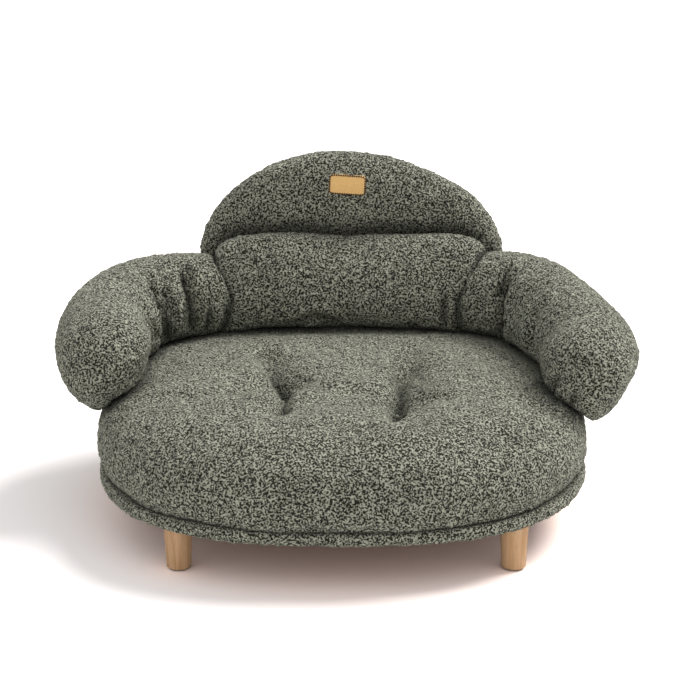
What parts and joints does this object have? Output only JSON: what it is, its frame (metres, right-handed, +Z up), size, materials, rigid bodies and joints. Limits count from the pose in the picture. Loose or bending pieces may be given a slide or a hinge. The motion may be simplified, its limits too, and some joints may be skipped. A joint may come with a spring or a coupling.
{
  "type": "dog sofa bed",
  "caption": "Round pet sofa bed in curly teddy fabric with a tufted seat, bent arm bolsters, a domed back and screw-in wooden legs.",
  "frame": {"origin": "on the floor under the middle of the sofa's base", "axes": "+Z is up, +X runs along the sofa's width to the right as seen from the front, +Y points to the back"},
  "size_m": [0.7769, 0.6385, 0.42],
  "materials": {
    "plywood": "unfinished birch plywood",
    "teddy_fabric": "grey-green curly teddy pile",
    "dust_cloth": "thin black nonwoven cloth",
    "staple_steel": "plain staple wire",
    "zinc_steel": "zinc-plated steel",
    "fibre_fill": "white polyester fibre",
    "foam": "open-cell upholstery foam",
    "thread": "waxed upholstery thread",
    "label_leather": "tan leather, bare",
    "label_thread": "dark brown stitching",
    "zip_cloth": "woven zip tape",
    "zip_plastic": "moulded zip teeth",
    "slider_metal": "dark lacquered zinc",
    "leg_wood": "clear-oiled rubberwood",
    "pad_felt": "brown felt"
  },
  "bodies": {
    "base": {"base_board": "plywood", "base_cover": "teddy_fabric", "dust_cover": "dust_cloth", "staples": "staple_steel", "tee_nuts": "zinc_steel", "seat_cover": "teddy_fabric", "seat_fill": "fibre_fill", "seat_foam": "foam", "tuft_threads": "thread", "tuft_washers": "zinc_steel", "back_panel": "plywood", "back_brackets": "zinc_steel", "bracket_screws": "zinc_steel", "back_cover": "teddy_fabric", "back_fill": "fibre_fill", "lumbar_cover": "teddy_fabric", "lumbar_fill": "fibre_fill", "left_arm_cover": "teddy_fabric", "left_arm_fill": "fibre_fill", "right_arm_cover": "teddy_fabric", "right_arm_fill": "fibre_fill", "label_patch": "label_leather", "label_stitching": "label_thread", "zip_tape": "zip_cloth", "zip_teeth": "zip_plastic", "zip_stops": "zip_plastic"},
    "leg_washer_front_left": {"leg_washer_front_left": "zinc_steel"},
    "leg_front_left": {"leg_front_left": "leg_wood", "hanger_bolt_front_left": "zinc_steel", "foot_pad_front_left": "pad_felt"},
    "leg_washer_front_right": {"leg_washer_front_right": "zinc_steel"},
    "leg_front_right": {"leg_front_right": "leg_wood", "hanger_bolt_front_right": "zinc_steel", "foot_pad_front_right": "pad_felt"},
    "leg_washer_rear_left": {"leg_washer_rear_left": "zinc_steel"},
    "leg_rear_left": {"leg_rear_left": "leg_wood", "hanger_bolt_rear_left": "zinc_steel", "foot_pad_rear_left": "pad_felt"},
    "leg_washer_rear_right": {"leg_washer_rear_right": "zinc_steel"},
    "leg_rear_right": {"leg_rear_right": "leg_wood", "hanger_bolt_rear_right": "zinc_steel", "foot_pad_rear_right": "pad_felt"},
    "zip_slider": {"zip_slider": "slider_metal"},
    "zip_puller": {"zip_puller": "slider_metal"}
  },
  "joints": [
    {"name": "leg_drop_front_left", "type": "slide", "parent": "base", "child": "leg_washer_front_left", "axis": [0, 0, -1], "range_m": [0, 0.0125]},
    {"name": "leg_turn_front_left", "type": "hinge", "parent": "leg_washer_front_left", "child": "leg_front_left", "pos_m": [-0.2095, -0.239, 0.06], "axis": [0, 0, -1], "range_deg": [0, 3600]},
    {"name": "leg_drop_front_right", "type": "slide", "parent": "base", "child": "leg_washer_front_right", "axis": [0, 0, -1], "range_m": [0, 0.0125]},
    {"name": "leg_turn_front_right", "type": "hinge", "parent": "leg_washer_front_right", "child": "leg_front_right", "pos_m": [0.2095, -0.239, 0.06], "axis": [0, 0, -1], "range_deg": [0, 3600]},
    {"name": "leg_drop_rear_left", "type": "slide", "parent": "base", "child": "leg_washer_rear_left", "axis": [0, 0, -1], "range_m": [0, 0.0125]},
    {"name": "leg_turn_rear_left", "type": "hinge", "parent": "leg_washer_rear_left", "child": "leg_rear_left", "pos_m": [-0.2095, 0.239, 0.06], "axis": [0, 0, -1], "range_deg": [0, 3600]},
    {"name": "leg_drop_rear_right", "type": "slide", "parent": "base", "child": "leg_washer_rear_right", "axis": [0, 0, -1], "range_m": [0, 0.0125]},
    {"name": "leg_turn_rear_right", "type": "hinge", "parent": "leg_washer_rear_right", "child": "leg_rear_right", "pos_m": [0.2095, 0.239, 0.06], "axis": [0, 0, -1], "range_deg": [0, 3600]},
    {"name": "zip_slide", "type": "slide", "parent": "base", "child": "zip_slider", "axis": [-1, 0, 0], "range_m": [0, 0.247]},
    {"name": "zip_puller_turn", "type": "hinge", "parent": "zip_slider", "child": "zip_puller", "pos_m": [0.1305, 0.3127, 0.138], "axis": [0, 0, -1], "range_deg": [0, 180]}
  ],
  "couplings": [
    {"joint": "leg_drop_front_left", "follows": "leg_turn_front_left", "m_per_rad": 0.00019894},
    {"joint": "leg_drop_front_right", "follows": "leg_turn_front_right", "m_per_rad": 0.00019894},
    {"joint": "leg_drop_rear_left", "follows": "leg_turn_rear_left", "m_per_rad": 0.00019894},
    {"joint": "leg_drop_rear_right", "follows": "leg_turn_rear_right", "m_per_rad": 0.00019894}
  ]
}
